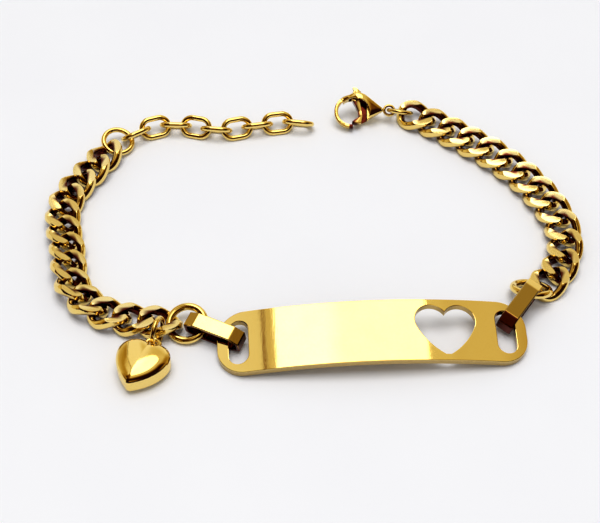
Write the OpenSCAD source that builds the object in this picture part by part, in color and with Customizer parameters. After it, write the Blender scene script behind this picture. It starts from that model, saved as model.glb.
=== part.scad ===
// ID bracelet of gold-toned steel, laid open on a flat surface: a bowed name plate with a heart
// cut-out, two twisted curb chains, a short extension chain, a heart charm and a lobster clasp.
// Millimetres. Z is up, the surface is at z = 0 and the plate is at the front (low y).

/* [Name plate] */
// Length of the plate from end to end
plate_l = 40.6; // [40:0.1:41.2]
// Width of the plate
plate_w = 8.9; // [8.8:0.1:9.4]
// Thickness of the plate
plate_t = 1.1; // [1:0.05:1.1]
// Radius of the bow along the plate's length
plate_bow = 80; // [76:1:90]
// How far the plate's rear edge is tipped up
plate_tip = 12; // [11:0.5:13]
// Turn of the plate about the vertical
plate_turn = 2.9; // [2:0.1:4]
// Corner radius of the plate's ends
plate_corner = 3.7; // [3.4:0.1:4]
// Width of the slot at each end
slot_w = 2.6; // [2.6:0.05:2.7]
// Length of the slot at each end, across the plate
slot_l = 6.2; // [6:0.1:6.6]
// Metal left between a slot and the plate's end
slot_rim = 1.5; // [1.4:0.05:1.5]

/* [Heart cut-out] */
// Radius of the two lobes of the heart
heart_lobe = 2.15; // [2.1:0.05:2.2]
// Distance from the heart's middle line to a lobe's centre
heart_spread = 1.85; // [1.8:0.05:1.9]
// Radius of the heart's bulging sides
heart_side = 9; // [9:0.5:9.5]
// Turn of the point where a side leaves its lobe
heart_lift = 23; // [22:0.5:24]
// Blunted half width of the heart's tip
heart_blunt = 0.35; // [0.2:0.05:0.5]
// Place of the heart along the plate, from the plate's middle
heart_x = 9.5; // [8:0.1:10]
// Place of the heart's lobes across the plate, from the plate's middle
heart_y = 1.42; // [1.2:0.02:1.6]

/* [Curb chain] */
// Distance from one curb link to the next
curb_pitch = 3.5; // [3.5:0.01:3.52]
// Thickness of a curb link's wire
curb_wire = 1.25; // [1.1:0.05:1.25]
// Width of a curb link over its two sides
curb_w = 5.2; // [5.1:0.05:5.3]
// Thickness that a curb link is cut down to
curb_t = 2.2; // [2.1:0.05:2.3]
// Twist of a curb link from its middle to each end
curb_twist = 45; // [43:1:47]
// Play between two hooked curb links
curb_play = 0.28; // [0.24:0.01:0.3]

/* [Rings] */
// Outer diameter of the heavy rings beside the plate
heavy_d = 5.8; // [5.7:0.1:5.9]
// Wire of the heavy rings
heavy_wire = 1; // [0.9:0.05:1]
// Outer diameter of the ring that starts the extension chain
start_d = 5; // [4.9:0.1:5.1]
// Wire of the ring that starts the extension chain
start_wire = 0.76; // [0.7:0.02:0.76]
// Outer diameter of the clasp's ring
clasp_ring_d = 4.2; // [4.1:0.1:4.3]
// Outer diameter of the charm's ring
charm_ring_d = 4.4; // [4.3:0.1:4.5]
// Wire of the clasp's and the charm's ring
thin_wire = 0.64; // [0.58:0.02:0.64]

/* [Extension chain] */
// Length of an oval link
oval_l = 4.95; // [4.9:0.05:5]
// Width of an oval link
oval_w = 3.5; // [3.45:0.05:3.6]
// Wire of an oval link
oval_wire = 0.8; // [0.76:0.02:0.8]
// Distance from one oval link to the next
oval_pitch = 3.12; // [3.08:0.02:3.14]
// Lean of an oval link to one side or the other
oval_lean = 45; // [44:1:46]

/* [Connectors] */
// Length of the folded strap that joins a heavy ring to the plate
strap_l = 8.1; // [8:0.1:8.2]
// Width of the strap
strap_w = 2.15; // [2:0.05:2.2]
// Height over the folded strap
strap_h = 3.05; // [3:0.05:3.1]
// Thickness of the strap
strap_t = 0.45; // [0.4:0.05:0.45]

/* [Charm] */
// Width of the heart charm
charm_w = 7.1; // [6.9:0.1:7.3]
// Length of the heart charm without its bail
charm_l = 7.1; // [6.9:0.1:7.3]
// Thickness of the heart charm
charm_t = 3.5; // [3.2:0.1:3.7]
// Height of the charm's flat side wall
charm_wall = 1.6; // [1.5:0.1:1.9]

/* [Clasp] */
// Outer radius of the clasp's round hook
hook_r = 2.6; // [2.55:0.05:2.65]
// Thickness of the hook
hook_t = 0.55; // [0.5:0.05:0.6]
// Depth of the clasp's shell
shell_d = 2.6; // [2.5:0.1:2.8]
// Thickness of the lever in the shell
lever_t = 1.1; // [1:0.05:1.15]
// Lean of the lying clasp towards the front
clasp_lean = 32; // [30:1:34]

/* [Hidden] */
$fn = 48;
gold = "goldenrod";
// Length of a shape that cuts right through a piece, and how far another reaches past its piece
far = 60;
spare = 1;
// Sides of the finer circles
FINE = 96;
BOW_SIDES = 720;

// Names of the pieces
CURBS = 13;
OVALS = 9;
function two(n) = str(n < 10 ? "0" : "", n);

// Middle of the plate on the surface
plate_at = [9.5, -15.8];

// Columns: turn from the link before, roll of the link. Rows go from the plate outwards.
LEFT_START = [-18.53, -12.24];
LEFT_HEADING = 172;
LEFT = [[0, 6], [-1, 4], [-12, 6], [-20, 12], [-21, 18], [-20, 21], [4, 17], [3, 13], [-9, 8],
        [-18, 4], [-18, -3], [-1, -7], [10, -5]];
RIGHT_START = [33.87, -4.81];
RIGHT_HEADING = 50;
RIGHT = [[0, 3], [14, -3], [16, -7], [18, -11], [12, -13], [5, -12], [7, -11], [8, -11],
         [4, -12], [6, -10], [0, -8], [2, -6], [10, -7]];
// Heading of each oval link, from the start ring to the free end
OVAL_HEADINGS = [34, 20, -2, -14, -6, 15, 10, 10, -8];

// Small vector helpers
function unit(v) = v / norm(v);
function along(a) = [cos(a), sin(a)];
function arc(c, r, from, to, steps) =
    [for (i = [0:steps]) c + r * along(from + (to - from) * i / steps)];
function turned(p, a) = [p[0] * cos(a) - p[1] * sin(a), p[0] * sin(a) + p[1] * cos(a)];
function power(v, k) = sign(v) * pow(abs(v), k);

// Shift that brings the middle of the whole bracelet's box over the origin
home = [-1.66, -4.6, 0.01];

// Places something with its x axis along a heading, its front raised by pitch and its left
// side raised by roll
module lay(at, heading, pitch, roll) {
    translate(at + home) rotate([0, 0, heading]) rotate([0, -pitch, 0]) rotate([roll, 0, 0]) children();
}

// Places something so that its z axis leans by tilt towards the direction of azimuth
module lean(at, tilt, azimuth) {
    translate(at + home) rotate([0, 0, azimuth]) rotate([0, tilt, 0]) children();
}

// Curb link: a full oval of wire, twisted about its length and cut flat above and below
curb_a = (curb_pitch + curb_wire + curb_play) / 2;
curb_b = (curb_w - curb_wire) / 2;
curb_full = 2 / 2.4;
RING_STEPS = 16;
WIRE_STEPS = 6;

function curb_point(s) = let (
    x = curb_a * power(cos(s), curb_full),
    y = curb_b * power(sin(s), curb_full),
    turn = -curb_twist * x / curb_a) [x, y * cos(turn), y * sin(turn)];
function curb_out(s) = let (
    turn = -curb_twist * cos(s),
    n = unit([cos(s) / curb_a, sin(s) / curb_b])) [n[0], n[1] * cos(turn), n[1] * sin(turn)];
function cut_flat(p) = [p[0], p[1], max(-curb_t / 2, min(curb_t / 2, p[2]))];
function curb_ring(s) = let (
    t = unit(curb_point(s + 2) - curb_point(s - 2)),
    o = curb_out(s),
    n = unit(o - (o * t) * t),
    m = cross(t, n))
    [for (k = [0:WIRE_STEPS - 1]) let (a = 360 * k / WIRE_STEPS)
        cut_flat(curb_point(s) + curb_wire / 2 * (cos(a) * n + sin(a) * m))];
CURB_POINTS = [for (i = [0:RING_STEPS - 1]) each curb_ring(360 * (i + 0.5) / RING_STEPS)];
CURB_FACES = [for (i = [0:RING_STEPS - 1], k = [0:WIRE_STEPS - 1]) let (
    j = (i + 1) % RING_STEPS, l = (k + 1) % WIRE_STEPS,
    a = i * WIRE_STEPS + k, b = i * WIRE_STEPS + l,
    c = j * WIRE_STEPS + l, d = j * WIRE_STEPS + k) each [[a, c, b], [a, d, c]]];

module curb_link() {
    polyhedron(CURB_POINTS, CURB_FACES);
}

// Height of a rolled link's centre when its lowest corner touches the surface
function curb_height(roll) = -min([for (p = CURB_POINTS) p[1] * sin(roll) + p[2] * cos(roll)]);

// Headings and centres along a chain, each step between the middle headings of two links
function headings(rows, h, i = 0) = i >= len(rows) ? []
    : concat([h + rows[i][0]], headings(rows, h + rows[i][0], i + 1));
function centres(heads, step, at, i = 0) = i >= len(heads) ? []
    : let (next = i == 0 ? at : at + step * along((heads[i - 1] + heads[i]) / 2))
      concat([next], centres(heads, step, next, i + 1));

left_heads = headings(LEFT, LEFT_HEADING);
left_centres = centres(left_heads, curb_pitch, LEFT_START);
right_heads = headings(RIGHT, RIGHT_HEADING);
right_centres = centres(right_heads, curb_pitch, RIGHT_START);

module curb_left(i) {
    c = left_centres[i];
    roll = LEFT[i][1];
    color(gold) lay([c[0], c[1], curb_height(roll)], left_heads[i], 0, roll) curb_link();
}

module curb_right(i) {
    c = right_centres[i];
    roll = RIGHT[i][1];
    color(gold) lay([c[0], c[1], curb_height(roll)], right_heads[i], 0, roll) curb_link();
}

// Round wire ring about z
module wire_ring(outer, wire) {
    rotate_extrude() translate([(outer - wire) / 2, 0]) circle(d = wire);
}

// Name plate: a slotted outline cut from a shell bowed along x
slot_x = plate_l / 2 - slot_rim - slot_w / 2;

module stadium(w, l) {
    square([w, l - w], center = true);
    for (side = [-1, 1]) translate([0, side * (l - w) / 2]) circle(d = w);
}

// Heart of two lobes whose sides bulge down to a blunted tip, one half as a list of points
heart_in = heart_side - heart_lobe;
heart_c = [heart_spread - heart_in * cos(heart_lift), heart_in * sin(heart_lift)];
HEART_HALF = concat(
    arc([heart_spread, 0], heart_lobe, acos(-heart_spread / heart_lobe), -heart_lift, 16),
    arc(heart_c, heart_side, -heart_lift, -acos((heart_blunt - heart_c[0]) / heart_side), 8));

module heart_outline() {
    polygon(concat(HEART_HALF,
        [for (i = [len(HEART_HALF) - 1:-1:1]) [-HEART_HALF[i][0], HEART_HALF[i][1]]]));
}

module plate_outline() {
    inner_l = plate_l - 2 * plate_corner;
    inner_w = plate_w - 2 * plate_corner;
    difference() {
        union() {
            square([inner_l, plate_w], center = true);
            square([plate_l, inner_w], center = true);
            for (x = [-1, 1], y = [-1, 1])
                translate([x * inner_l / 2, y * inner_w / 2]) circle(plate_corner);
        }
        for (x = [-1, 1]) translate([x * slot_x, 0]) stadium(slot_w, slot_l);
        translate([heart_x, heart_y]) heart_outline();
    }
}

// Depth of the plate's top under its middle, at a distance x along it
function bow_drop(x) = plate_bow - sqrt(plate_bow * plate_bow - x * x);
plate_z = plate_t + max([for (a = [0:5:90]) let (
    x = plate_l / 2 - plate_corner + plate_corner * sin(a),
    y = plate_w / 2 - plate_corner + plate_corner * cos(a))
    y * sin(plate_tip) + bow_drop(x) * cos(plate_tip)]);

module id_plate() {
    depth = bow_drop(plate_l / 2) + plate_t + spare;
    color(gold) lay([plate_at[0], plate_at[1], plate_z], plate_turn, 0, plate_tip)
        intersection() {
            translate([0, 0, -depth]) linear_extrude(depth + spare) plate_outline();
            translate([0, far / 2, -plate_bow]) rotate([90, 0, 0]) difference() {
                cylinder(r = plate_bow, h = far, $fn = BOW_SIDES);
                translate([0, 0, -spare])
                    cylinder(r = plate_bow - plate_t, h = far + 2 * spare, $fn = BOW_SIDES);
            }
        }
}

// Connector: a strap folded into a long loop with bevelled ends
bevel_l = 1.35;
bevel_h = 0.65;
module octagon(l, h, bl, bh) {
    polygon([for (q = [[1, 1], [-1, 1], [-1, -1], [1, -1]])
        each let (a = [q[0] * l / 2, q[1] * (h / 2 - bh)], b = [q[0] * (l / 2 - bl), q[1] * h / 2])
            q[0] * q[1] > 0 ? [a, b] : [b, a]]);
}

module strap_loop() {
    slope = norm([bevel_l, bevel_h]);
    inner_bl = bevel_l - strap_t + strap_t * (slope - bevel_l) / bevel_h;
    inner_bh = bevel_h - strap_t + strap_t * (slope - bevel_h) / bevel_l;
    translate([0, strap_w / 2, 0]) rotate([90, 0, 0]) linear_extrude(strap_w) difference() {
        octagon(strap_l, strap_h, bevel_l, bevel_h);
        octagon(strap_l - 2 * strap_t, strap_h - 2 * strap_t, inner_bl, inner_bh);
    }
}

// A connector's end in its slot, measured on the plate, then its heading away from the plate, its
// pitch and roll, and the height of its centre
LEFT_END = [-17.0, 0.75];
LEFT_STRAP = [154, 0, -13, 1.75];
RIGHT_END = [17.36, 1.48];
RIGHT_STRAP = [53.8, 7.7, 12.5, 2.37];

module connector(end, strap) {
    c = plate_at + turned(end, plate_turn) + strap_l / 2 * cos(strap[1]) * along(strap[0]);
    color(gold) lay([c[0], c[1], strap[3]], strap[0], strap[1], strap[2]) strap_loop();
}
module connector_left() connector(LEFT_END, LEFT_STRAP);
module connector_right() connector(RIGHT_END, RIGHT_STRAP);

// Rings: place of the centre, lean and the direction of the lean
module ring_left() color(gold) lean([-14.93, -12.46, 1.45], 19.8, -108.7) wire_ring(heavy_d, heavy_wire);
module ring_right() color(gold) lean([31.2, -6.61, 1.71], 28.8, 79.3) wire_ring(heavy_d, heavy_wire);
module ring_extender()
    color(gold) lean([-27.29, 23.23, 1.35], 17.8, -45) wire_ring(start_d, start_wire);
module ring_clasp()
    color(gold) lean([15.24, 29.62, 1.7], 39.2, 77.3) wire_ring(clasp_ring_d, thin_wire);
module ring_charm()
    color(gold) lean([-18.62, -14.58, 2.2], 88.3, -15.7) wire_ring(charm_ring_d, thin_wire);

// Extension chain: oval links of round wire that lean left and right in turn
module oval_link() {
    bend = (oval_w - oval_wire) / 2;
    straight = oval_l - oval_w;
    for (s = [0, 180]) rotate([0, 0, s]) {
        translate([straight / 2, 0, 0]) rotate([0, 0, -90]) rotate_extrude(angle = 180)
            translate([bend, 0]) circle(d = oval_wire);
        translate([-straight / 2, bend, 0]) rotate([0, 90, 0])
            cylinder(d = oval_wire, h = straight);
    }
}

oval_centres = centres(OVAL_HEADINGS, oval_pitch, [-24.68, 24.95]);
oval_z = (oval_w - oval_wire) / 2 * sin(oval_lean) + oval_wire / 2;
module extender(i) {
    c = oval_centres[i];
    roll = i % 2 == 0 ? -oval_lean : oval_lean;
    color(gold) lay([c[0], c[1], oval_z], OVAL_HEADINGS[i], 0, roll) oval_link();
}

// Heart charm: its length along x, the tip at low x and the bail at high x
charm_lobe = 0.33 * charm_w;
charm_spread = charm_w / 2 - charm_lobe;
charm_tip = charm_lobe - charm_l;
LOBE_STEPS = 8;
SIDE_STEPS = 6;
notch_angle = acos(charm_spread / charm_lobe);
charm_bulge = 2.6;
charm_blunt = 0.2;
side_end = 100;

// One side of the outline from the notch to the tip: the lobe's arc, then a bulging side
CHARM_LOBE = arc([0, charm_spread], charm_lobe, notch_angle - 90, side_end, LOBE_STEPS);
function charm_side(t) = let (
    p = CHARM_LOBE[LOBE_STEPS],
    c = p + charm_bulge * [-sin(side_end), cos(side_end)],
    tip = [charm_tip, charm_blunt])
    (1 - t) * (1 - t) * p + 2 * t * (1 - t) * c + t * t * tip;
CHARM_HALF = concat(CHARM_LOBE, [for (i = [1:SIDE_STEPS]) charm_side(i / SIDE_STEPS)]);
CHARM_OUTLINE = concat(
    CHARM_HALF,
    [for (i = [len(CHARM_HALF) - 1:-1:1]) [CHARM_HALF[i][0], -CHARM_HALF[i][1]]]);

// Columns: size of the loop, height as a share of half the charm's thickness
wall_share = charm_wall / charm_t;
CHARM_LOOPS = [[0.35, -1], [0.8, -0.8], [1, -wall_share], [1, wall_share], [0.8, 0.8], [0.35, 1]];
CHARM_MIDDLE = [-1.2, 0];

module charm_body() {
    n = len(CHARM_OUTLINE);
    m = len(CHARM_LOOPS);
    points = [for (row = CHARM_LOOPS, p = CHARM_OUTLINE) let (
        q = CHARM_MIDDLE + row[0] * (p - CHARM_MIDDLE)) [q[0], q[1], row[1] * charm_t / 2]];
    sides = [for (j = [0:m - 2], i = [0:n - 1]) let (
        k = (i + 1) % n, a = j * n + i, b = j * n + k, c = (j + 1) * n + k, d = (j + 1) * n + i)
        each [[a, c, b], [a, d, c]]];
    polyhedron(points, concat(sides, [[for (i = [0:n - 1]) i]],
        [[for (i = [n - 1:-1:0]) (m - 1) * n + i]]));
}

bail_d = 2.4;
bail_wire = 0.6;
bail_x = 2.6;
charm_at = [-20.1, -18.78];
charm_heading = 68.8;
module heart_charm() {
    color(gold) lay([charm_at[0], charm_at[1], charm_t / 2], charm_heading, 0, 0) {
        charm_body();
        translate([bail_x, 0, 0]) wire_ring(bail_d, bail_wire);
    }
}

// Lobster clasp: x from the hook to the eye, y towards the thumb tab, z through the shell
clasp_at = [7.83, 29.06, 2.05];
hook_in = hook_r - hook_t;
hook_d = 1.0;
// Angles at which the hook's arc ends, and between which the shell takes it in
HOOK_ARC = [100, 275];
SHELL_ARC = [60, 128];
drop_big = [0.9, 0.6, 2.3];
drop_small = [4.35, 0.35, 0.4];
eye_at = [5.75, 0.3];
eye_d = 1.94;
eye_wire = 0.42;
neck_x = 4.3;
neck_l = 0.7;
neck_d = 0.5;
pivot = [0.6, 2.25];
pin_r = 0.28;
pin_l = 2;
// Gap on each side of the lever and round its pin, and where the shell's slot for it starts and ends
lever_gap = 0.1;
lever_slot = [-0.35, 2.35];
// Round cut in the shell's front and back side, over the hook's opening: x, y, radius
FRONT_CUT = [0.4, -0.4, 2.4];
BACK_CUT = [-0.65, 0.2, 2.05];

// Sector of a flat ring between two angles, cut by a fan of triangles
SECTOR_STEP = 30;
module ring_sector(r_out, r_in, span) {
    steps = ceil((span[1] - span[0]) / SECTOR_STEP);
    step = (span[1] - span[0]) / steps;
    difference() {
        intersection() {
            circle(r_out, $fn = FINE);
            polygon(concat([[0, 0]], [for (i = [0:steps]) 2 * r_out * along(span[0] + i * step)]));
        }
        circle(r_in, $fn = FINE);
    }
}

// Outline of a drop: two circles given as [x, y, radius] and the lines that touch both
module drop_outline(big, small) {
    d = [small[0] - big[0], small[1] - big[1]];
    axis = atan2(d[1], d[0]);
    open = acos((big[2] - small[2]) / norm(d));
    function rim(c, a) = [c[0], c[1]] + c[2] * along(axis + a);
    for (c = [big, small]) translate([c[0], c[1]]) circle(c[2], $fn = FINE);
    polygon([rim(big, open), rim(big, -open), rim(small, -open), rim(small, open)]);
}

// The shell's thickness along its length. Columns: x, share of the shell's depth.
SHELL_PLAN = [[-1.6, 0.38], [-0.6, 0.58], [0.4, 0.92], [0.9, 1], [2.3, 0.96], [3.5, 0.65],
              [4.9, 0.31]];

// Side of the shell, joined to the ring of the hook above its opening
module cheek(cut) {
    ring_sector(hook_r, hook_in, SHELL_ARC);
    difference() {
        drop_outline(drop_big, drop_small);
        translate([cut[0], cut[1]]) circle(cut[2], $fn = FINE);
    }
}

module clasp_solid() {
    translate([0, 0, -hook_d / 2]) linear_extrude(hook_d)
        ring_sector(hook_r, hook_in, HOOK_ARC);
    difference() {
        intersection() {
            union() {
                translate([0, 0, -shell_d]) linear_extrude(2 * shell_d) cheek(FRONT_CUT);
                translate([0, 0, -shell_d]) linear_extrude(shell_d) cheek(BACK_CUT);
            }
            translate([0, far / 2, 0]) rotate([90, 0, 0]) linear_extrude(far)
                scale([1, shell_d / 2]) polygon(concat(SHELL_PLAN,
                    [for (i = [len(SHELL_PLAN) - 1:-1:0]) [SHELL_PLAN[i][0], -SHELL_PLAN[i][1]]]));
        }
        translate([lever_slot[0], -far / 2, -lever_t / 2 - lever_gap])
            cube([lever_slot[1] - lever_slot[0], far, lever_t + 2 * lever_gap]);
    }
}

module clasp_body() {
    color(gold) lay(clasp_at, 0, 0, clasp_lean) {
        clasp_solid();
        translate([pivot[0], pivot[1], -pin_l / 2]) cylinder(r = pin_r, h = pin_l);
        translate([neck_x, drop_small[1], 0]) rotate([0, 90, 0]) cylinder(d = neck_d, h = neck_l);
        translate([eye_at[0], eye_at[1], 0]) wire_ring(eye_d, eye_wire);
    }
}

// Lever's outline: a thumb tab above the pin and a gate below it, whose foot closes the hook
LEVER = [[0.2, 3.8], [0.75, 3.75], [1.5, 3.05], [1.2, 2.6], [1.2, 1.9], [1.45, 0.5], [1.65, -0.8],
         [1.45, -1.85], [0.6, -1.95], [0.05, -1.9], [0.1, -1.6], [1.05, -0.9], [0.95, 0.1],
         [0.55, 1.0], [0.02, 1.9], [0.02, 2.6], [0.35, 3.2]];

module clasp_lever() {
    color(gold) lay(clasp_at, 0, 0, clasp_lean)
        translate([0, 0, -lever_t / 2]) linear_extrude(lever_t) difference() {
            polygon(LEVER);
            translate(pivot) circle(pin_r + lever_gap);
        }
}

id_plate();
connector_left();
connector_right();
ring_left();
ring_right();
ring_extender();
ring_clasp();
ring_charm();
heart_charm();
clasp_body();
clasp_lever();
for (i = [0:CURBS - 1]) {
    curb_left(i);
    curb_right(i);
}
for (i = [0:OVALS - 1]) extender(i);
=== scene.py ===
import math
import bmesh
import bpy
from mathutils import Matrix, Vector


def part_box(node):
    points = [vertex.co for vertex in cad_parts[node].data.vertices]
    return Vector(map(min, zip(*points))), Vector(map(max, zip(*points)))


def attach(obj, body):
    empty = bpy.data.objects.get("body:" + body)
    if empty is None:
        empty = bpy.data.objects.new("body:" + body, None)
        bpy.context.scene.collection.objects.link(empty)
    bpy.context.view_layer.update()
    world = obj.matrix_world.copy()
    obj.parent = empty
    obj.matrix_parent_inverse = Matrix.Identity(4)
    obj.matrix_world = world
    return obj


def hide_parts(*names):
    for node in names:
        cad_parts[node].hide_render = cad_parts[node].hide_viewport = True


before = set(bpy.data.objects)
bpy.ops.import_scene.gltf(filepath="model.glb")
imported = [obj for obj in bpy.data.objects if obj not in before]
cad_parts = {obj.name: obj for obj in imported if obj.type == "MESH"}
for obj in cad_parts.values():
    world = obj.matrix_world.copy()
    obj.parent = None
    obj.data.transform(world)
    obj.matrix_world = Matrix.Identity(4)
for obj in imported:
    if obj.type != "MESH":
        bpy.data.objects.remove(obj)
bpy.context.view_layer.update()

# Pieces are measured in millimetres, as in the part's source, and become metres when they are
# placed. Angles are in degrees.
MM = 0.001
ROOT = "bracelet"
# Shift that brings the middle of the whole bracelet's box over the origin
HOME = Vector((-1.66, -4.6, 0.01))
X_AXIS, Y_AXIS = Vector((1, 0, 0)), Vector((0, 1, 0))
UPRIGHT = Matrix.Rotation(math.radians(90), 4, "X")


def along(heading):
    """Unit vector in the plane towards a heading."""
    return Vector((math.cos(math.radians(heading)), math.sin(math.radians(heading))))


def lay(at, heading, pitch=0, roll=0):
    """Place with x along a heading, the front raised by pitch and the left side raised by roll."""
    turn = Matrix.Rotation(math.radians(heading), 4, "Z")
    lift = Matrix.Rotation(math.radians(-pitch), 4, "Y")
    lean = Matrix.Rotation(math.radians(roll), 4, "X")
    return Matrix.Translation(Vector(at) + HOME) @ turn @ lift @ lean


# Camera at the photograph's viewing angle
CAMERA_ELEVATION = 47.3
CAMERA_DISTANCE = 190
CAMERA_FOCUS_PX = 1366
IMAGE_W = 600
SENSOR_W = 36
# Nearest and farthest distance that it sees, in metres
CAMERA_CLIP = 0.01, 20


def photo_camera():
    data = bpy.data.cameras.new("photo_camera")
    camera = bpy.data.objects.new("photo_camera", data)
    bpy.context.scene.collection.objects.link(camera)
    data.sensor_width = SENSOR_W
    data.lens = SENSOR_W * CAMERA_FOCUS_PX / IMAGE_W
    data.clip_start, data.clip_end = CAMERA_CLIP
    rise = math.radians(CAMERA_ELEVATION)
    back = Vector((0, -math.cos(rise), math.sin(rise)))
    camera.location = (HOME + back * CAMERA_DISTANCE) * MM
    camera.rotation_euler = (-back).to_track_quat("-Z", "Y").to_euler()
    bpy.context.scene.camera = camera


photo_camera()


# Materials
class Value:
    """A socket's value, whose arithmetic adds Math nodes."""

    def __init__(self, shader, socket):
        self.shader, self.socket = shader, socket

    def math(self, operation, *values):
        return self.shader.node("ShaderNodeMath", {"operation": operation}, dict(enumerate(values)))

    def __add__(self, other):
        return self.math("ADD", self, other)

    def __sub__(self, other):
        return self.math("SUBTRACT", self, other)

    def __rsub__(self, other):
        return self.math("SUBTRACT", other, self)

    def __mul__(self, other):
        return self.math("MULTIPLY", self, other)

    def __truediv__(self, other):
        return self.math("DIVIDE", self, other)

    __radd__ = __add__
    __rmul__ = __mul__

    def clamped(self):
        return self.math("MAXIMUM", self.math("MINIMUM", self, 1.0), 0.0)

    def larger(self, other):
        return self.math("MAXIMUM", self, other)

    def size(self):
        return self.math("ABSOLUTE", self)

    def between(self, low, high):
        """0 below low, 1 above high and straight between."""
        return ((self - low) / (high - low)).clamped()


class Shader:
    """A material's or the world's node tree."""

    def __init__(self, owner):
        owner.use_nodes = True
        self.owner, self.tree = owner, owner.node_tree
        self.tree.nodes.clear()

    def node(self, kind, settings=None, inputs=None, output=0):
        made = self.tree.nodes.new(kind)
        for name, value in (settings or {}).items():
            if name == "stops":
                self.set_stops(made.color_ramp, value)
            else:
                setattr(made, name, value)
        for name, value in (inputs or {}).items():
            socket = made.inputs[name]
            if isinstance(value, Value):
                self.tree.links.new(value.socket, socket)
            else:
                socket.default_value = value
        return Value(self, made.outputs[output])

    def set_stops(self, ramp, stops):
        while len(ramp.elements) < len(stops):
            ramp.elements.new(1.0)
        for element, (place, colour) in zip(ramp.elements, stops):
            element.position, element.color = place, (*colour, 1.0)

    def end(self, kind, inputs):
        """Adds an output node, which has no outputs of its own."""
        made = self.tree.nodes.new(kind)
        for name, value in inputs.items():
            self.tree.links.new(value.socket, made.inputs[name])

    def place(self, scale=(1, 1, 1)):
        """Object coordinates in millimetres, stretched."""
        own = self.node("ShaderNodeTexCoord", output="Object")
        per_mm = [s / MM for s in scale]
        return self.node("ShaderNodeMapping", {}, {"Vector": own, "Scale": per_mm})

    def noise(self, place, scale, detail=2.0, roughness=0.5):
        return self.node("ShaderNodeTexNoise", {}, {
            "Vector": place, "Scale": scale, "Detail": detail, "Roughness": roughness})

    def marked(self, name):
        """How much a piece's vertices are marked under a name."""
        return self.node("ShaderNodeAttribute", {"attribute_name": name}, output="Fac")

    def blend(self, amount, first, second):
        """Colour between two colours, by amount."""
        return self.node("ShaderNodeMix", {"data_type": "RGBA"}, {
            "Factor": amount, 6: first, 7: second}, output=2)


def rgb(r, g, b):
    return (r, g, b, 1.0)


GOLD = rgb(0.93, 0.75, 0.30)
DEEP_GOLD = rgb(0.88, 0.64, 0.19)
# Painted shade in deep gold, where the gold's reflection is dimmer
SHADED_GOLD = rgb(0.36, 0.21, 0.03)
CUT_TONES = rgb(0.92, 0.80, 0.46), rgb(0.86, 0.66, 0.24)
# Painted shade in dark maroon, where pieces mark it
PAINTED_SHADE_MAROON = rgb(0.12, 0.02, 0.01)
STEEL = rgb(0.62, 0.60, 0.56)
# Patterns of the metal: their scale per millimetre, detail and roughness
CLOUD = 0.35, 3.0, 0.5
GRAIN = 3.0, 3.0, 0.6
LINE_DETAIL, LINE_ROUGHNESS = 3.0, 0.65
GRAIN_TONE = 0.3
GRAIN_BUMP = 0.4
BUMP_STRENGTH = 0.5
# How far the grain breaks up the edge of the worn spot and of the painted shade, and where each edge starts
# and ends
WEAR_BREAK, WEAR_EDGE = 0.4, (0.7, 1.1)
SHADE_BREAK, SHADE_EDGE = 0.2, (0.25, 0.8)
# The spot where the clasp's ring is worn to the steel: its place and radius
WORN_SPOT, WORN_R = (15.1, 31.4, 2.3), 1.9


def metal(name, rough=0.08, spread=0.05, brush=(1, 1, 1), brush_scale=1.2, brush_depth=0.01,
          deep=0.6, tones=(GOLD, DEEP_GOLD), wear=None):
    """Gold plating: tone and polish that vary over the metal, fine polishing lines, painted shade in deep
    gold and in dark maroon where a piece marks it and, at a place in millimetres given as wear, a spot
    where the steel shows through."""
    shader = Shader(bpy.data.materials.new(name))
    plain = shader.place()
    cloud = shader.noise(plain, *CLOUD)
    grain = shader.noise(plain, *GRAIN)
    lines = shader.noise(shader.place(brush), brush_scale, LINE_DETAIL, LINE_ROUGHNESS)
    tone = (cloud * deep + grain * GRAIN_TONE).clamped()
    colour = shader.blend(tone, *tones)
    if wear:
        spot, radius = wear
        place = shader.node("ShaderNodeTexCoord", output="Object")
        away = shader.node("ShaderNodeVectorMath", {"operation": "DISTANCE"}, {
            0: place, 1: (Vector(spot) + HOME) * MM}, output="Value")
        worn = 1 - (away / (radius * MM) + WEAR_BREAK * (grain - 0.5)).between(*WEAR_EDGE)
        colour = shader.blend(worn, colour, STEEL)
    # Painted shade: deep gold by one mark on the vertices, then dark maroon by the other, its edge broken
    # up by the grain
    colour = shader.blend(shader.marked("shaded"), colour, SHADED_GOLD)
    dark_shade_amount = (shader.marked("recess") + SHADE_BREAK * (grain - 0.5)).between(*SHADE_EDGE)
    colour = shader.blend(dark_shade_amount, colour, PAINTED_SHADE_MAROON)
    polish = (rough + spread * (cloud - 0.5) + 0.5 * spread * (lines - 0.5)).clamped()
    bump = shader.node("ShaderNodeBump", {}, {
        "Strength": BUMP_STRENGTH, "Distance": brush_depth * MM, "Height": lines + GRAIN_BUMP * grain})
    surface = shader.node("ShaderNodeBsdfPrincipled", {}, {
        "Base Color": colour, "Metallic": 1.0, "Roughness": polish, "Normal": bump})
    shader.end("ShaderNodeOutputMaterial", {"Surface": surface})
    return shader.owner


polished = metal("polished_gold")
cut_face = metal("cut_face_gold", rough=0.16, spread=0.08, brush_scale=4.0, brush_depth=0.012,
                 tones=CUT_TONES)
plate_gold = metal("name_plate_gold", rough=0.05, spread=0.04, brush=(3, 0.12, 1), brush_depth=0.003,
                   deep=0.3)
wall_gold = metal("brushed_wall_gold", rough=0.24, spread=0.08, brush=(3, 3, 0.1), brush_scale=2.5,
                  brush_depth=0.02)
worn_gold = metal("worn_ring_gold", wear=(WORN_SPOT, WORN_R))

# Mesh helpers
SECOND_MATERIAL = 1
MERGE = 0.001
# Distance at which a slice goes through a vertex that is already there
SNAP = 0.00001
# Faces that meet at less than this angle are made one
FLAT_ANGLE = 1


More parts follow.
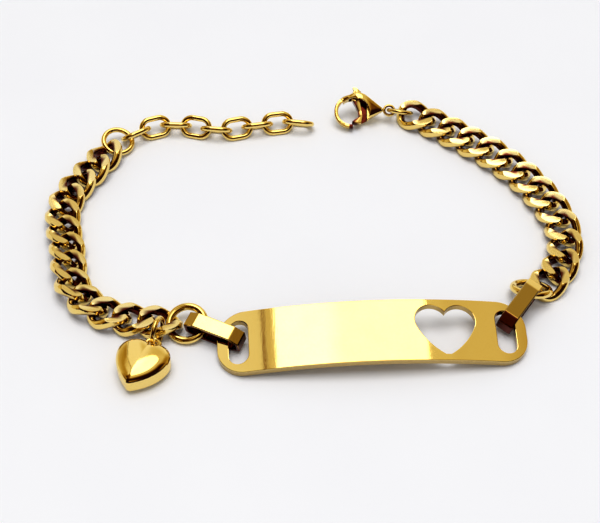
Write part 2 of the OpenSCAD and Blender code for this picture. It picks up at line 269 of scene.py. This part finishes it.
def dressed(name, bm, place, materials, sharp=28, replaces=(), body=ROOT):
    """Turns a bmesh in millimetres into a placed piece that rides and stands for its CAD nodes."""
    bmesh.ops.recalc_face_normals(bm, faces=bm.faces)
    mesh = bpy.data.meshes.new(name)
    bm.to_mesh(mesh)
    bm.free()
    mesh.transform(Matrix.Scale(MM, 4) @ place)
    mesh.shade_smooth()
    mesh.set_sharp_from_angle(angle=math.radians(sharp))
    for material in materials:
        mesh.materials.append(material)
    piece = bpy.data.objects.new(name, mesh)
    bpy.context.scene.collection.objects.link(piece)
    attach(piece, body)
    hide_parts(*replaces)


def resting(node, bm, place):
    """The place, raised or lowered until the piece reaches down as far as its node."""
    lowest = min((place @ v.co).z for v in bm.verts)
    return Matrix.Translation((0, 0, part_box(node)[0].z / MM - lowest)) @ place


def mark(bm, name, amount):
    """Marks each vertex under a name, by a function of its place."""
    layer = bm.verts.layers.float.new(name)
    for v in bm.verts:
        v[layer] = amount(v.co)


def only(kind, geometry):
    return [g for g in geometry if isinstance(g, kind)]


def edges_between(bm, verts):
    known = set(verts)
    return [e for e in bm.edges if known.issuperset(e.verts)]


def bevel(bm, edges, width, segments=2):
    bmesh.ops.bevel(bm, geom=edges, offset=width, offset_type="OFFSET", segments=segments,
                    profile=0.5, affect="EDGES", material=-1, clamp_overlap=True)


def round_corners(bm, verts, width, segments):
    bmesh.ops.bevel(bm, geom=verts, offset=width, offset_type="OFFSET", segments=segments,
                    profile=0.5, affect="VERTICES", material=-1)


def sharp_edges(bm, degrees):
    limit = math.radians(degrees)
    return [e for e in bm.edges if e.is_manifold and e.calc_face_angle(0) > limit]


def slice_across(bm, axis, places):
    """Adds loops across a piece, square to an axis, at places along it."""
    for place in places:
        bmesh.ops.bisect_plane(bm, geom=bm.verts[:] + bm.edges[:] + bm.faces[:], dist=SNAP,
                               plane_co=place * axis, plane_no=axis)


def arc(bm, vert, centre, turn, steps):
    """Spins a vertex about a centre and returns the last one."""
    last = bmesh.ops.spin(bm, geom=[vert], cent=centre, axis=(0, 0, 1), angle=math.radians(turn),
                          steps=steps)["geom_last"]
    return only(bmesh.types.BMVert, last)[0]


def spin_ring(bm, edges, centre, steps):
    """Spins a wire's rim once round a centre and closes the ring."""
    bmesh.ops.spin(bm, geom=edges, cent=centre, axis=(0, 0, 1), angle=2 * math.pi, steps=steps,
                   use_merge=True)


def close_loop(bm, verts):
    """Joins the two ends that a mirrored outline may leave open."""
    ends = [v for v in verts if len(v.link_edges) == 1]
    if len(ends) == 2:
        bm.edges.new(ends)


# Curb links: six-sided wire bent into a twisted oval and cut flat above and below
CURB_PITCH = 3.5
CURB_WIRE = 1.3
CURB_SIDES = 6
CURB_ROUND = 0.16
CURB_ROUND_STEPS = 3
# Height of the wire's section against its width
CURB_DEEP = 1.25
# Half the length and half the width of the oval that the wire follows
CURB_A, CURB_B = 2.515, 1.975
# Power that makes the oval fuller than an ellipse
CURB_FULL = 2 / 2.4
CURB_TWIST = 45
CURB_STEPS = 56
# Step to either side, in radians round the oval, that gives the wire's direction
CURB_NUDGE = 0.02
CURB_CUT = 2.04
CURB_BEVEL = 0.05
# Strength of the painted shade on the wire's inner side and underneath
INWARD_DARK, UNDER_DARK = 1.3, 0.9

# Columns: turn from the link before, roll of the link. Rows go from the plate outwards.
LEFT_START, LEFT_HEADING = Vector((-18.53, -12.24)), 172
LEFT = [(0, 6), (-1, 4), (-12, 6), (-20, 12), (-21, 18), (-20, 21), (4, 17), (3, 13), (-9, 8),
        (-18, 4), (-18, -3), (-1, -7), (10, -5)]
RIGHT_START, RIGHT_HEADING = Vector((33.87, -4.81)), 50
RIGHT = [(0, 3), (14, -3), (16, -7), (18, -11), (12, -13), (5, -12), (7, -11), (8, -11),
         (4, -12), (6, -10), (0, -8), (2, -6), (10, -7)]


def full(value):
    return math.copysign(abs(value) ** CURB_FULL, value)


def twisted(x, y, twist):
    turn = math.radians(twist)
    return Vector((x, y * math.cos(turn), y * math.sin(turn)))


def curb_centre(s):
    x, y = CURB_A * full(math.cos(s)), CURB_B * full(math.sin(s))
    return twisted(x, y, -CURB_TWIST * x / CURB_A)


def curb_outward(s):
    flat = Vector((math.cos(s) / CURB_A, math.sin(s) / CURB_B)).normalized()
    return twisted(flat.x, flat.y, -CURB_TWIST * math.cos(s))


def curb_dark(at):
    """How much painted shade the wire gets on its inner side and underneath, marked before it is bent, when
    it runs round a circle of radius 1.
    """
    return max(INWARD_DARK * (1 - at.xy.length), -UNDER_DARK * at.z, 0) / (CURB_WIRE / 2)


def curb_wire():
    """A closed ring of wire, spun round and then bent so that it follows the oval."""
    bm = bmesh.new()
    bmesh.ops.create_circle(bm, radius=CURB_WIRE / 2, segments=CURB_SIDES,
                            matrix=Matrix.Translation(X_AXIS) @ UPRIGHT)
    round_corners(bm, bm.verts[:], CURB_ROUND, CURB_ROUND_STEPS)
    spin_ring(bm, bm.edges[:], (0, 0, 0), CURB_STEPS)
    # Painted shade on the inner side and underneath
    mark(bm, "recess", curb_dark)
    for v in bm.verts:
        s = math.atan2(v.co.y, v.co.x)
        forward = (curb_centre(s + CURB_NUDGE) - curb_centre(s - CURB_NUDGE)).normalized()
        out = curb_outward(s)
        out = (out - out.dot(forward) * forward).normalized()
        v.co = curb_centre(s) + (v.co.xy.length - 1) * out + CURB_DEEP * v.co.z * out.cross(forward)
    return bm


def cut_flat(bm, height):
    """Cuts a link flat at a height above or below its middle, closes the cuts and returns their rims."""
    side = math.copysign(1, height)
    cut = bmesh.ops.bisect_plane(bm, geom=bm.verts[:] + bm.edges[:] + bm.faces[:],
                                 plane_co=(0, 0, height), plane_no=(0, 0, side), clear_outer=True)
    rims = only(bmesh.types.BMEdge, cut["geom_cut"])
    known = set(bm.faces)
    bmesh.ops.holes_fill(bm, edges=rims)
    for face in set(bm.faces) - known:
        face.material_index = SECOND_MATERIAL
    return rims


def curb_link():
    bm = curb_wire()
    rims = cut_flat(bm, CURB_CUT / 2) + cut_flat(bm, -CURB_CUT / 2)
    bevel(bm, [e for e in rims if e.is_valid and e.is_manifold], CURB_BEVEL, 1)
    return bm


def curb_chain(side, rows, start, heading):
    at = start
    for i, (turn, roll) in enumerate(rows):
        node = f"curb_{side}_{i + 1:02d}"
        if i:
            at = at + CURB_PITCH * along(heading + turn / 2)
        heading += turn
        link = curb_link()
        place = resting(node, link, lay((at.x, at.y, 0), heading, 0, roll))
        dressed(node + "_link", link, place, [polished, cut_face], replaces=[node])


curb_chain("left", LEFT, LEFT_START, LEFT_HEADING)
curb_chain("right", RIGHT, RIGHT_START, RIGHT_HEADING)

# Connectors: a strap folded into a long loop with bevelled ends
STRAP_L, STRAP_W, STRAP_H, STRAP_T = 8.1, 2.15, 3.05, 0.45
BEVEL_L, BEVEL_H = 1.35, 0.65
STRAP_EDGE = 0.13
STRAP_ANGLE = 12
# Depth from which a place counts as inside the loop, and shares of the edge's bevel by which a
# place counts as on a side or in the slot
INSIDE = 0.9 * STRAP_T
SIDE_SHARE, SLOT_SHARE = 0.2, 0.3
# Painted shade on the strap's sides and underside
SIDE_DARK = 0.8
# Middle of the plate on the surface and its turn, from which the connectors are placed too
PLATE_AT = (9.5, -15.8)
PLATE_TURN = 2.9


def rounded_rectangle(bm, length, width, corner, steps=1, middle=(0, 0, 0), stretch=(1, 1)):
    """A rectangle whose corners are cut or rounded, stretched along x and y at the end."""
    corners = bmesh.ops.create_grid(bm, x_segments=1, y_segments=1, size=0.5)["verts"]
    bmesh.ops.scale(bm, vec=(length / stretch[0], width / stretch[1], 1), verts=corners)
    known = set(bm.verts) - set(corners)
    round_corners(bm, corners, corner, steps)
    made = [v for v in bm.verts if v not in known]
    bmesh.ops.scale(bm, vec=(*stretch, 1), verts=made)
    bmesh.ops.translate(bm, vec=middle, verts=made)


def flat_plate(bm, thickness):
    """Fills the outlines drawn so far and gives them a thickness below z = 0."""
    bmesh.ops.delete(bm, geom=bm.faces[:], context="FACES_ONLY")
    bmesh.ops.triangle_fill(bm, use_beauty=True, use_dissolve=False, edges=bm.edges[:])
    grown = bmesh.ops.extrude_face_region(bm, geom=bm.faces[:])["geom"]
    bmesh.ops.translate(bm, vec=(0, 0, -thickness), verts=only(bmesh.types.BMVert, grown))
    bmesh.ops.recalc_face_normals(bm, faces=bm.faces)
    bmesh.ops.dissolve_limit(bm, angle_limit=math.radians(FLAT_ANGLE), verts=bm.verts, edges=bm.edges)


def folded_strap(name, node, place, flat_dark, outer_dark, slot_dark):
    """The last three give how much painted shade the flat top, the outer bevel and the bevel in the slot
    get: 0 is bright, 1 deep gold and 2 dark. Inside the loop and in the slot the strap gets dark painted
    shade, and on its sides and underneath a little less."""

    def dark(at):
        flat = abs(at.x) < STRAP_L / 2 - BEVEL_L - STRAP_EDGE / 2
        return flat_dark if flat else outer_dark if at.x > 0 else slot_dark

    # Dark painted shade inside the loop and in the slot, less on the sides and underneath
    def recess(at):
        inside = abs(at.z) < STRAP_H / 2 - INSIDE and abs(at.x) < STRAP_L / 2 - INSIDE
        in_slot = at.x < SLOT_SHARE * STRAP_EDGE - STRAP_L / 2
        beside = abs(at.y) > STRAP_W / 2 - SIDE_SHARE * STRAP_EDGE
        return 1 if inside or in_slot else SIDE_DARK if beside or at.z < 0 else max(dark(at) - 1, 0)

    slope = math.hypot(BEVEL_L, BEVEL_H)
    inner_l = BEVEL_L - STRAP_T + STRAP_T * (slope - BEVEL_L) / BEVEL_H
    inner_h = BEVEL_H - STRAP_T + STRAP_T * (slope - BEVEL_H) / BEVEL_L
    bm = bmesh.new()
    rounded_rectangle(bm, STRAP_L, STRAP_H, 1, stretch=(BEVEL_L, BEVEL_H))
    rounded_rectangle(bm, STRAP_L - 2 * STRAP_T, STRAP_H - 2 * STRAP_T, 1, stretch=(inner_l, inner_h))
    flat_plate(bm, STRAP_W)
    bevel(bm, sharp_edges(bm, STRAP_ANGLE), STRAP_EDGE)
    bmesh.ops.translate(bm, vec=(0, 0, STRAP_W / 2), verts=bm.verts)
    bmesh.ops.transform(bm, matrix=UPRIGHT, verts=bm.verts)
    mark(bm, "recess", recess)
    mark(bm, "shaded", lambda at: min(dark(at), 1))
    dressed(name, bm, place, [polished], sharp=4, replaces=[node])


def strap_place(end, heading, pitch, roll, height):
    """Place of a connector from its end in the slot, measured on the plate."""
    turn = Matrix.Rotation(math.radians(PLATE_TURN), 2)
    reach = STRAP_L / 2 * math.cos(math.radians(pitch))
    middle = Vector(PLATE_AT) + turn @ Vector(end) + reach * along(heading)
    return lay((*middle, height), heading, pitch, roll)


folded_strap("left_folded_strap", "connector_left",
             strap_place((-17.0, 0.75), heading=154, pitch=0, roll=-13, height=1.75),
             flat_dark=0, outer_dark=0.5, slot_dark=0.8)
# The right strap's flat top gets painted shade in deep gold and its bevel in the slot dark painted shade
folded_strap("right_folded_strap", "connector_right",
             strap_place((17.36, 1.48), heading=53.8, pitch=7.7, roll=12.5, height=2.37),
             flat_dark=0.85, outer_dark=0, slot_dark=2)

# Heart charm: its length along x, the tip at low x and the bail at high x
CHARM_W = 7.1
CHARM_L = 7.1
CHARM_T = 3.5
CHARM_WALL = 1.6
CHARM_LOBE = 0.33 * CHARM_W
CHARM_SPREAD = CHARM_W / 2 - CHARM_LOBE
CHARM_TIP = Vector((CHARM_LOBE - CHARM_L, 0.2, 0))
CHARM_BULGE = 2.6
CHARM_MIDDLE = Vector((-1.2, 0, 0))
CHARM_AT, CHARM_HEADING = (-20.1, -18.78), 68.8
# Turn at which a lobe goes over into a side
SIDE_TURN = 100
LOBE_STEPS = 20
SIDE_STEPS = 18
# Columns: size of the loop, height as a share of half the charm's thickness
CHARM_LOOPS = [(0.975, 0.545), (0.945, 0.62), (0.9, 0.7), (0.84, 0.775), (0.77, 0.84), (0.68, 0.895),
               (0.57, 0.94), (0.44, 0.97), (0.29, 0.99), (0.13, 0.998), (0.04, 1.0)]
BAIL_D = 2.4
BAIL_WIRE = 0.6
BAIL_X = 2.6
BAIL_SIDES = 16
BAIL_STEPS = 40


def charm_outline(bm):
    """One loop round the heart: a lobe and a bulging side, mirrored."""
    start = math.degrees(math.acos(CHARM_SPREAD / CHARM_LOBE)) - 90
    lobe = Vector((0, CHARM_SPREAD, 0))
    first = bm.verts.new(lobe + CHARM_LOBE * along(start).to_3d())
    last = arc(bm, first, lobe, SIDE_TURN - start, LOBE_STEPS)
    shoulder = last.co.copy()
    bulge = shoulder + CHARM_BULGE * along(SIDE_TURN + 90).to_3d()
    for i in range(1, SIDE_STEPS + 1):
        t = i / SIDE_STEPS
        last = bmesh.ops.extrude_vert_indiv(bm, verts=[last])["verts"][0]
        last.co = (1 - t) ** 2 * shoulder + 2 * t * (1 - t) * bulge + t * t * CHARM_TIP
    for v in bm.verts:
        if abs(v.co.y) < MERGE:
            v.co.y = 0
    bmesh.ops.mirror(bm, geom=bm.verts[:] + bm.edges[:], axis="Y", merge_dist=MERGE)
    close_loop(bm, bm.verts)


def puff(bm, cap):
    """Domes one side of the charm, loop by loop."""
    side = math.copysign(1, cap.calc_center_median().z)
    cap.material_index = 0
    size = 1
    for share, height in CHARM_LOOPS:
        grown = bmesh.ops.extrude_face_region(bm, geom=[cap])["geom"]
        ring = only(bmesh.types.BMFace, grown)[0]
        if cap.is_valid:
            bm.faces.remove(cap)
        for v in ring.verts:
            flat = CHARM_MIDDLE + (v.co - CHARM_MIDDLE) * (share / size)
            v.co = (flat.x, flat.y, side * height * CHARM_T / 2)
        size, cap = share, ring


def heart_charm():
    bm = bmesh.new()
    charm_outline(bm)
    face = bmesh.ops.contextual_create(bm, geom=bm.edges[:])["faces"][0]
    bmesh.ops.translate(bm, vec=(0, 0, -CHARM_WALL / 2), verts=bm.verts)
    wall = bmesh.ops.extrude_face_region(bm, geom=[face])["geom"]
    top = only(bmesh.types.BMFace, wall)[0]
    bmesh.ops.translate(bm, vec=(0, 0, CHARM_WALL), verts=top.verts)
    for f in bm.faces:
        f.material_index = SECOND_MATERIAL
    puff(bm, top)
    puff(bm, face)
    at = Matrix.Translation((BAIL_X + (BAIL_D - BAIL_WIRE) / 2, 0, 0)) @ UPRIGHT
    rim = bmesh.ops.create_circle(bm, radius=BAIL_WIRE / 2, segments=BAIL_SIDES, matrix=at)["verts"]
    spin_ring(bm, edges_between(bm, rim), (BAIL_X, 0, 0), BAIL_STEPS)
    return bm


dressed("heart_charm_puffed", heart_charm(), lay((*CHARM_AT, CHARM_T / 2), CHARM_HEADING),
        [polished, wall_gold], sharp=17, replaces=["heart_charm"])

# Name plate, blank, bowed along its length
PLATE_L = 40.6
PLATE_W = 8.9
PLATE_T = 1.1
PLATE_BOW = 80
PLATE_CORNER = 3.7
PLATE_CORNER_STEPS = 20
PLATE_TIP = 12
PLATE_EDGE = 0.08
PLATE_ANGLE = 60
# The wall gets painted shade below this share of the edge's bevel
WALL_SHARE = 0.9
WALL_DARK = 0.5
SLOT_W = 2.6
SLOT_L = 6.2
SLOT_RIM = 1.5
# Half of the straight length left between a slot's rounded corners
SLOT_FLAT = 0.01
SLOT_CORNER_STEPS = 14
HEART_LOBE = 2.15
HEART_SPREAD = 1.85
HEART_SIDE = 9
HEART_LIFT = 23
HEART_BLUNT = 0.35
HEART_AT = (9.5, 1.42, 0)
HEART_LOBE_STEPS = 32
HEART_SIDE_STEPS = 20
BEND_STEP = 0.25


def heart_edges(bm):
    """Edges of the heart cut-out: a lobe and a bulging side, mirrored."""
    known = set(bm.verts)
    inner = HEART_SIDE - HEART_LOBE
    lift = math.radians(HEART_LIFT)
    side_middle = Vector((HEART_SPREAD - inner * math.cos(lift), inner * math.sin(lift), 0))
    notch = math.degrees(math.acos(-HEART_SPREAD / HEART_LOBE))
    rise = HEART_LOBE * math.sin(math.radians(notch))
    start = bm.verts.new((0, rise, 0))
    foot = arc(bm, start, (HEART_SPREAD, 0, 0), -HEART_LIFT - notch, HEART_LOBE_STEPS)
    swing = math.degrees(math.acos((HEART_BLUNT - side_middle.x) / HEART_SIDE)) - HEART_LIFT
    arc(bm, foot, side_middle, -swing, HEART_SIDE_STEPS)
    half = [v for v in bm.verts if v not in known]
    bmesh.ops.mirror(bm, geom=half + edges_between(bm, half), axis="X", merge_dist=MERGE)
    whole = [v for v in bm.verts if v not in known]
    close_loop(bm, whole)
    bmesh.ops.translate(bm, vec=HEART_AT, verts=whole)


def name_plate():
    bm = bmesh.new()
    rounded_rectangle(bm, PLATE_L, PLATE_W, PLATE_CORNER, PLATE_CORNER_STEPS)
    slot_x = PLATE_L / 2 - SLOT_RIM - SLOT_W / 2
    for x in (-slot_x, slot_x):
        rounded_rectangle(bm, SLOT_W, SLOT_L, SLOT_W / 2 - SLOT_FLAT, SLOT_CORNER_STEPS, (x, 0, 0))
    heart_edges(bm)
    flat_plate(bm, PLATE_T)
    bevel(bm, sharp_edges(bm, PLATE_ANGLE), PLATE_EDGE)
    mark(bm, "recess", lambda at: WALL_DARK if at.z < -WALL_SHARE * PLATE_EDGE else 0)
    cuts = round(PLATE_L / BEND_STEP)
    slice_across(bm, X_AXIS, [(i / cuts - 0.5) * PLATE_L for i in range(1, cuts)])
    for v in bm.verts:
        v.co.z = math.sqrt((PLATE_BOW + v.co.z) ** 2 - v.co.x ** 2) - PLATE_BOW
    return bm


plate = name_plate()
dressed("blank_name_plate", plate,
        resting("id_plate", plate, lay((*PLATE_AT, 0), PLATE_TURN, 0, PLATE_TIP)),
        [plate_gold], sharp=20, replaces=["id_plate"])

# Lobster clasp: x from the hook to the eye, y towards the thumb tab, z through the shell
CLASP_PLACE = lay((7.83, 29.06, 2.05), 0, 0, 32)
CLASP_MERGE = 0.0005
CLASP_FLAT = 0.5
CLASP_ANGLE = 50
NEAR = 0.01
# The shell's outline is drawn between a big and a small circle
DROP_BIG, DROP_BIG_R = Vector((0.9, 0.6)), 2.3
DROP_SMALL, DROP_SMALL_R = Vector((4.35, 0.35)), 0.4
DROP_STEPS = 20
HOOK_OUT, HOOK_IN = 2.6, 2.05
HOOK_HALF = 0.5
HOOK_START, HOOK_END = 127.9, 276
HOOK_PLAY = 0.05
HOOK_BEVEL = 0.13
# Left of and above this place the shell runs out into the hook's ring
ARM_AT = Vector((1.3, 1.7))
SHELL_HALF = 1.3
SHELL_END = 4.7
# Columns: x, thickness as a share of the whole
SHELL_PLAN = [(-1.6, 0.38), (-0.6, 0.58), (0.4, 0.92), (0.9, 1), (2.3, 0.96), (3.5, 0.65), (4.9, 0.31)]
SHELL_BASE = 0.62
# Steps along x over which the shell's plan is averaged
SHELL_EASE = (-0.6, -0.3, 0, 0.3, 0.6)
EYE_AT, EYE_INNER = Vector((5.75, 0.3)), 0.75
# Start, end and half width of the slot that the lever moves in
LEVER_SLOT = (-0.35, 2.35, 0.7)
PUFF_REACH = 0.9
PUFF_EDGE = 0.25
PUFF_STEP = 0.15
# Columns: axis of the slices, first place, end
PUFF_FIELD = ((X_AXIS, -1.5, 4.8), (Y_AXIS, -1.8, 3.0))
LEVER_BEVEL = 0.09
LEVER_LOW, LEVER_STEP, LEVER_CUTS = -2, 0.17, 23
# Below its top the gate gets painted shade, apart from a rim at high x, left bright, that is narrowest at
# its middle
GATE_DARK = 1
GATE_TOP = 1.6
GATE_RIM, GATE_BOW, GATE_MIDDLE = 1.45, 0.15, -0.8


def clasp_copy(node):
    """A CAD node of the clasp as a merged bmesh, measured on the clasp."""
    bm = bmesh.new()
    bm.from_mesh(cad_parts[node].data)
    bmesh.ops.transform(bm, matrix=CLASP_PLACE.inverted() @ Matrix.Scale(1 / MM, 4), verts=bm.verts)
    bmesh.ops.remove_doubles(bm, verts=bm.verts, dist=CLASP_MERGE)
    bmesh.ops.dissolve_limit(bm, angle_limit=math.radians(CLASP_FLAT), verts=bm.verts, edges=bm.edges)
    return bm


def shell_plan(x):
    """Half the shell's thickness at x, straight between the rows of its plan."""
    for (x0, h0), (x1, h1) in zip(SHELL_PLAN, SHELL_PLAN[1:]):
        if x <= x1:
            return SHELL_HALF * (h0 + (h1 - h0) * (x - x0) / (x1 - x0))
    return SHELL_HALF * SHELL_PLAN[-1][1]


def from_edge(spot):
    """Distance inwards from the shell's outer edge."""
    steps = [i / DROP_STEPS for i in range(DROP_STEPS + 1)]
    drop = max(DROP_BIG_R + (DROP_SMALL_R - DROP_BIG_R) * t - (spot - DROP_BIG.lerp(DROP_SMALL, t)).length
               for t in steps)
    on_arm = spot.x < ARM_AT.x and spot.y > ARM_AT.y
    ring = min(HOOK_OUT - spot.length, spot.length - HOOK_IN) if on_arm else 0
    return max(drop, ring, 0)


def on_hook(spot):
    around = math.degrees(math.atan2(spot.y, spot.x)) % 360
    in_ring = HOOK_IN - HOOK_PLAY < spot.xy.length < HOOK_OUT + HOOK_PLAY
    return HOOK_START < around < HOOK_END and in_ring


# Painted shade in the eye's hole and in the slot that the lever moves in
def clasp_dark(at):
    start, end, half = LEVER_SLOT
    in_eye = (at.xy - EYE_AT).length < EYE_INNER
    in_slot = start - NEAR < at.x < end + NEAR and abs(at.z) < half
    return 1 if in_eye or in_slot else 0


def puffed_height(x, y, z):
    """Height of a place on the shell's side once the side is domed."""
    tall = shell_plan(x)
    base = min(LEVER_SLOT[2], SHELL_BASE * tall)
    if abs(z) <= base:
        return z
    spread = min(from_edge(Vector((x, y))) / PUFF_REACH, 1)
    dome = PUFF_EDGE + (1 - PUFF_EDGE) * math.sqrt(1 - (1 - spread) ** 2)
    eased = sum(shell_plan(x + d) for d in SHELL_EASE) / len(SHELL_EASE)
    up = (abs(z) - base) / (tall - base)
    return math.copysign(base + up * (max(eased, base) - base) * dome, z)


def puffed_clasp():
    bm = clasp_copy("clasp_body")
    rim = [e for e in sharp_edges(bm, CLASP_ANGLE) if all(
        abs(abs(v.co.z) - HOOK_HALF) < NEAR and on_hook(v.co) for v in e.verts)]
    bevel(bm, rim, HOOK_BEVEL)
    for axis, low, high in PUFF_FIELD:
        slice_across(bm, axis, [low + i * PUFF_STEP for i in range(round((high - low) / PUFF_STEP))])
    bmesh.ops.triangulate(bm, faces=bm.faces[:])
    mark(bm, "recess", clasp_dark)
    for v in bm.verts:
        if v.co.x <= SHELL_END and not on_hook(v.co):
            v.co.z = puffed_height(*v.co)
    return bm


def gate_dark(at):
    on_rim = at.x > GATE_RIM - GATE_BOW * abs(at.y - GATE_MIDDLE)
    return GATE_DARK if at.y < GATE_TOP and not on_rim else 0


def thumb_lever():
    bm = clasp_copy("clasp_lever")
    bevel(bm, sharp_edges(bm, CLASP_ANGLE), LEVER_BEVEL)
    slice_across(bm, Y_AXIS, [i * LEVER_STEP + LEVER_LOW for i in range(1, LEVER_CUTS + 1)])
    mark(bm, "recess", gate_dark)
    return bm


dressed("puffed_clasp_shell", puffed_clasp(), CLASP_PLACE, [polished], sharp=38, replaces=["clasp_body"])
dressed("thumb_lever", thumb_lever(), CLASP_PLACE, [polished], replaces=["clasp_lever"], body="clasp_lever")

# The rings and oval links of round wire keep their solids' shapes
for name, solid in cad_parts.items():
    if name.startswith(("ring_", "extender_")):
        solid.data.materials.clear()
        solid.data.materials.append(worn_gold if name == "ring_clasp" else polished)

# Floor, its radius in metres
FLOOR_R = 3
FLOOR_SIDES = 96
FLOOR_TONES = rgb(0.90, 0.90, 0.915), rgb(0.87, 0.87, 0.89)
FLOOR_CLOUD = 0.05, 3.0


def floor():
    bm = bmesh.new()
    bmesh.ops.create_circle(bm, cap_ends=True, radius=FLOOR_R, segments=FLOOR_SIDES)
    mesh = bpy.data.meshes.new("floor")
    bm.to_mesh(mesh)
    bm.free()
    shader = Shader(bpy.data.materials.new("pale_paper"))
    colour = shader.blend(shader.noise(shader.place(), *FLOOR_CLOUD), *FLOOR_TONES)
    surface = shader.node("ShaderNodeBsdfPrincipled", {}, {
        "Base Color": colour, "Roughness": 0.7, "Specular IOR Level": 0.2})
    shader.end("ShaderNodeOutputMaterial", {"Surface": surface})
    mesh.materials.append(shader.owner)
    ground = bpy.data.objects.new("floor", mesh)
    bpy.context.scene.collection.objects.link(ground)


# Colours of the room against its brightness, from the dark behind the camera to the pale wall
ROOM_COLOURS = [(0.0, (0.022, 0.004, 0.003)), (0.3, (0.22, 0.09, 0.012)), (0.55, (0.50, 0.34, 0.07)),
                (0.8, (0.80, 0.70, 0.44)), (1.0, (1.0, 0.98, 0.94))]
FLOOR_LIGHT = rgb(0.48, 0.48, 0.48)
HORIZON = rgb(0.88, 0.88, 0.89)
# Brightness of the room by direction: right, back and up each run from -1 to 1. In a pair of
# directions something starts at the first and is full, or gone, at the second.
WALL_LEVEL = 0.76
BEHIND = -0.03, 0.16
LOW_UP, LOW_GAIN = (0.2, 0.6), 0.22
LEFT_TURN, LEFT_GAIN = (0.05, 0.5), 0.18
RIGHT_TURN, RIGHT_LOSS = (0.5, 0.8), 0.4
CLOUD_SCALE, CLOUD_GAIN = 2.2, 0.3
# A thin dark bar, a glow right of it, a dip beside it high up, and a dim wall further left low down
BAR_RIGHT, BAR_EDGE = -0.318, (0.003, 0.007)
GLOW_START, GLOW_END, GLOW_GAIN = (-0.285, -0.262), (-0.2, 0), 0.4
DIP_START, DIP_END, DIP_LOSS = (-0.31, -0.304), (-0.295, -0.27), 0.15
ASIDE_TURN, ASIDE_LOSS = (0.32, 0.36), 0.42
HIGH_UP = 0.7, 0.8
# The ceiling, dimmer to the left, and the low walls at the sides and in front
CEILING_UP, CEILING_LEVEL = (0.72, 0.9), 0.8
CEILING_LEFT, CEILING_LOSS = (0.1, 0.25), 0.6
FAR_TURN, FAR_UP, FAR_LEVEL = (0.86, 0.94), (0.1, 0.3), 0.58


def room():
    """Mirrored in the gold: a dark warm room in front and a dim pale wall behind, brighter low down
    and to the left. The floor gets an even light."""
    world = bpy.data.worlds.new("room")
    bpy.context.scene.world = world
    shader = Shader(world)
    towards = shader.node("ShaderNodeTexCoord", output="Generated")
    right, back, up = (shader.node("ShaderNodeSeparateXYZ", {}, {0: towards}, output=i) for i in range(3))
    left = 0 - right
    cloud = shader.noise(towards, CLOUD_SCALE) - 0.5
    high = up.between(*HIGH_UP)
    bar = (right - BAR_RIGHT).size().between(*BAR_EDGE)
    glow = right.between(*GLOW_START) * (1 - right.between(*GLOW_END))
    dip = right.between(*DIP_START) * (1 - right.between(*DIP_END)) * high
    aside = left.between(*ASIDE_TURN) * (1 - high)
    level = WALL_LEVEL + LOW_GAIN * (1 - up.between(*LOW_UP)) + LEFT_GAIN * left.between(*LEFT_TURN)
    level = level - RIGHT_LOSS * right.between(*RIGHT_TURN) + CLOUD_GAIN * cloud
    level = (level + GLOW_GAIN * glow - DIP_LOSS * dip - ASIDE_LOSS * aside) * bar
    wall = back.between(*BEHIND) * level
    ceiling = CEILING_LEVEL * up.between(*CEILING_UP) * (1 - CEILING_LOSS * left.between(*CEILING_LEFT))
    far = FAR_LEVEL * right.size().larger(0 - back).between(*FAR_TURN) * up.between(*FAR_UP)
    mirrored = shader.node("ShaderNodeValToRGB", {"stops": ROOM_COLOURS}, {
        "Fac": wall.larger(ceiling).larger(far).clamped()})
    glossy = shader.node("ShaderNodeLightPath", output="Is Glossy Ray")
    seen = shader.node("ShaderNodeLightPath", output="Is Camera Ray")
    even = shader.blend(seen, FLOOR_LIGHT, HORIZON)
    surface = shader.node("ShaderNodeBackground", {}, {"Color": shader.blend(glossy, even, mirrored)})
    shader.end("ShaderNodeOutputWorld", {"Surface": surface})


def softbox(name, rise, distance, width, height, radiance, mirrored):
    """An area light that faces the bracelet, rise degrees up from straight behind, with its
    distance and sizes in metres. It is mirrored in the gold or lights the floor."""
    data = bpy.data.lights.new(name, "AREA")
    data.shape = "ELLIPSE"
    data.size, data.size_y = width, height
    data.energy = radiance * math.pi * width * height
    lamp = bpy.data.objects.new(name, data)
    bpy.context.scene.collection.objects.link(lamp)
    towards = Vector((0, *along(rise)))
    lamp.location = towards * distance
    lamp.rotation_euler = towards.to_track_quat("Z", "Y").to_euler()
    lamp.visible_camera = False
    lamp.visible_glossy = mirrored
    lamp.visible_diffuse = not mirrored


floor()
room()
softbox("overhead_box", rise=78, distance=0.6, width=0.36, height=0.58, radiance=1.45, mirrored=True)
softbox("ceiling_fill", rise=93, distance=0.8, width=0.6, height=0.6, radiance=3.7, mirrored=False)

view = bpy.context.scene.view_settings
view.view_transform = "Standard"
view.gamma = 0.8
